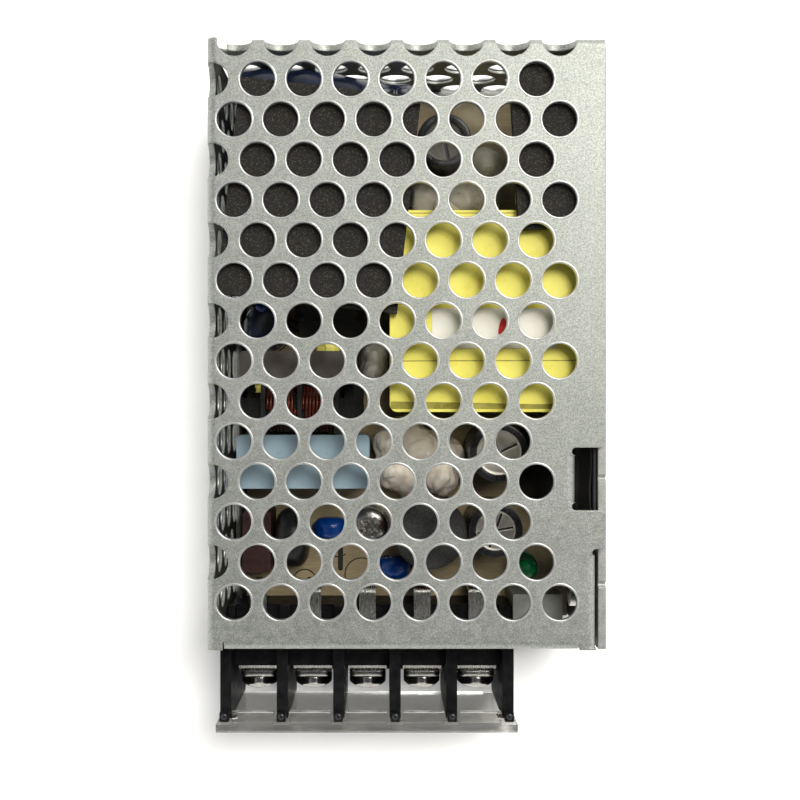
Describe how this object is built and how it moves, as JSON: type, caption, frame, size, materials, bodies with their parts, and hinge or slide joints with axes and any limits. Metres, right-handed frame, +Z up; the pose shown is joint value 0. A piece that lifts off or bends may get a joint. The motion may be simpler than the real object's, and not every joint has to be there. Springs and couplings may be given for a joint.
{
  "type": "mesh case switching power supply",
  "caption": "Compact enclosed switching power supply: perforated folded steel cover on an L-shaped chassis, populated board inside, barrier terminals with a clear flap in front.",
  "frame": {"origin": "centre of the case's underside", "axes": "+Y to the rear, away from the terminals; +Z up out of the perforated cover; +X towards the tall side wall"},
  "size_m": [0.051, 0.0907, 0.028],
  "materials": {
    "adjuster_plastic": "satin",
    "black_epoxy": "matte",
    "black_film": "matte",
    "black_sleeve": "satin",
    "block_plastic": "satin",
    "blue_coat": "gloss",
    "board_laminate": "matte",
    "bobbin_plastic": "satin",
    "cap_box_blue": "satin",
    "cap_box_dark": "satin",
    "clear_plastic": "gloss",
    "copper_wire": "gloss",
    "cover_sheet": "satin",
    "ferrite": "matte",
    "fuse_plastic": "matte",
    "galvanised_sheet": "satin",
    "green_lens": "gloss",
    "label_paper": "matte",
    "navy_sleeve": "satin",
    "pad_silicone": "matte",
    "pale_silicone": "satin",
    "resistor_coat": "satin",
    "screw_steel": "satin",
    "sink_aluminium": "satin",
    "terminal_steel": "gloss",
    "thermistor_coat": "satin",
    "tinned_strip": "satin",
    "yellow_tape": "satin"
  },
  "bodies": {
    "root": {"chassis": "galvanised_sheet", "vent_cover": "cover_sheet", "case_screws": "screw_steel", "base_film": "black_film", "side_film": "black_film", "circuit_board": "board_laminate", "standoffs": "screw_steel", "board_screws": "screw_steel", "board_screw_washers": "screw_steel", "terminal_block": "block_plastic", "terminal_strips": "tinned_strip", "line_fuse": "fuse_plastic", "thermistor": "thermistor_coat", "x_capacitor": "cap_box_blue", "film_capacitor": "cap_box_dark", "choke_core": "ferrite", "choke_bobbin": "bobbin_plastic", "choke_windings": "copper_wire", "disc_capacitors": "blue_coat", "bridge_rectifier": "black_epoxy", "bulk_capacitor": "navy_sleeve", "primary_heatsink": "sink_aluminium", "power_transistor": "black_epoxy", "primary_pad": "pad_silicone", "snubber_resistors": "resistor_coat", "controller_chip": "black_epoxy", "optocoupler": "black_epoxy", "transformer_core": "ferrite", "transformer_bobbin": "bobbin_plastic", "transformer_windings": "copper_wire", "transformer_tape": "yellow_tape", "transformer_label": "label_paper", "output_heatsink": "sink_aluminium", "output_diode": "black_epoxy", "secondary_pad": "pad_silicone", "output_capacitor_1": "black_sleeve", "output_capacitor_2": "black_sleeve", "auxiliary_capacitor": "black_sleeve", "output_choke_core": "ferrite", "output_choke_winding": "copper_wire", "indicator_led": "green_lens", "adjuster_body": "adjuster_plastic", "adhesive_beads": "pale_silicone"},
    "terminal_lid": {"terminal_cover": "clear_plastic"},
    "adjuster": {"adjuster_rotor": "adjuster_plastic"},
    "clamp_1": {"terminal_washer_1": "terminal_steel"},
    "screw_1": {"terminal_screw_1": "terminal_steel"},
    "clamp_2": {"terminal_washer_2": "terminal_steel"},
    "screw_2": {"terminal_screw_2": "terminal_steel"},
    "clamp_3": {"terminal_washer_3": "terminal_steel"},
    "screw_3": {"terminal_screw_3": "terminal_steel"},
    "clamp_4": {"terminal_washer_4": "terminal_steel"},
    "screw_4": {"terminal_screw_4": "terminal_steel"},
    "clamp_5": {"terminal_washer_5": "terminal_steel"},
    "screw_5": {"terminal_screw_5": "terminal_steel"}
  },
  "joints": [
    {"name": "terminal_lid_hinge", "type": "hinge", "parent": "root", "child": "terminal_lid", "pos_m": [-0.0052, -0.0495, 0.0201], "axis": [-1, 0, 0], "range_deg": [0, 120]},
    {"name": "adjuster_turn", "type": "hinge", "parent": "root", "child": "adjuster", "pos_m": [0.0183, -0.0385, 0.0111], "axis": [0, -1, 0], "range_deg": [-130, 130]},
    {"name": "clamp_slide_1", "type": "slide", "parent": "root", "child": "clamp_1", "axis": [0, -1, 0], "range_m": [0, 0.0025]},
    {"name": "screw_turn_1", "type": "hinge", "parent": "clamp_1", "child": "screw_1", "pos_m": [-0.02044, -0.0458, 0.0112], "axis": [0, -1, 0], "range_deg": [0, 1800]},
    {"name": "clamp_slide_2", "type": "slide", "parent": "root", "child": "clamp_2", "axis": [0, -1, 0], "range_m": [0, 0.0025]},
    {"name": "screw_turn_2", "type": "hinge", "parent": "clamp_2", "child": "screw_2", "pos_m": [-0.01282, -0.0458, 0.0112], "axis": [0, -1, 0], "range_deg": [0, 1800]},
    {"name": "clamp_slide_3", "type": "slide", "parent": "root", "child": "clamp_3", "axis": [0, -1, 0], "range_m": [0, 0.0025]},
    {"name": "screw_turn_3", "type": "hinge", "parent": "clamp_3", "child": "screw_3", "pos_m": [-0.0052, -0.0458, 0.0112], "axis": [0, -1, 0], "range_deg": [0, 1800]},
    {"name": "clamp_slide_4", "type": "slide", "parent": "root", "child": "clamp_4", "axis": [0, -1, 0], "range_m": [0, 0.0025]},
    {"name": "screw_turn_4", "type": "hinge", "parent": "clamp_4", "child": "screw_4", "pos_m": [0.00242, -0.0458, 0.0112], "axis": [0, -1, 0], "range_deg": [0, 1800]},
    {"name": "clamp_slide_5", "type": "slide", "parent": "root", "child": "clamp_5", "axis": [0, -1, 0], "range_m": [0, 0.0025]},
    {"name": "screw_turn_5", "type": "hinge", "parent": "clamp_5", "child": "screw_5", "pos_m": [0.01004, -0.0458, 0.0112], "axis": [0, -1, 0], "range_deg": [0, 1800]}
  ],
  "couplings": [
    {"joint": "screw_turn_1", "follows": "clamp_slide_1", "rad_per_m": 12566},
    {"joint": "screw_turn_2", "follows": "clamp_slide_2", "rad_per_m": 12566},
    {"joint": "screw_turn_3", "follows": "clamp_slide_3", "rad_per_m": 12566},
    {"joint": "screw_turn_4", "follows": "clamp_slide_4", "rad_per_m": 12566},
    {"joint": "screw_turn_5", "follows": "clamp_slide_5", "rad_per_m": 12566}
  ]
}
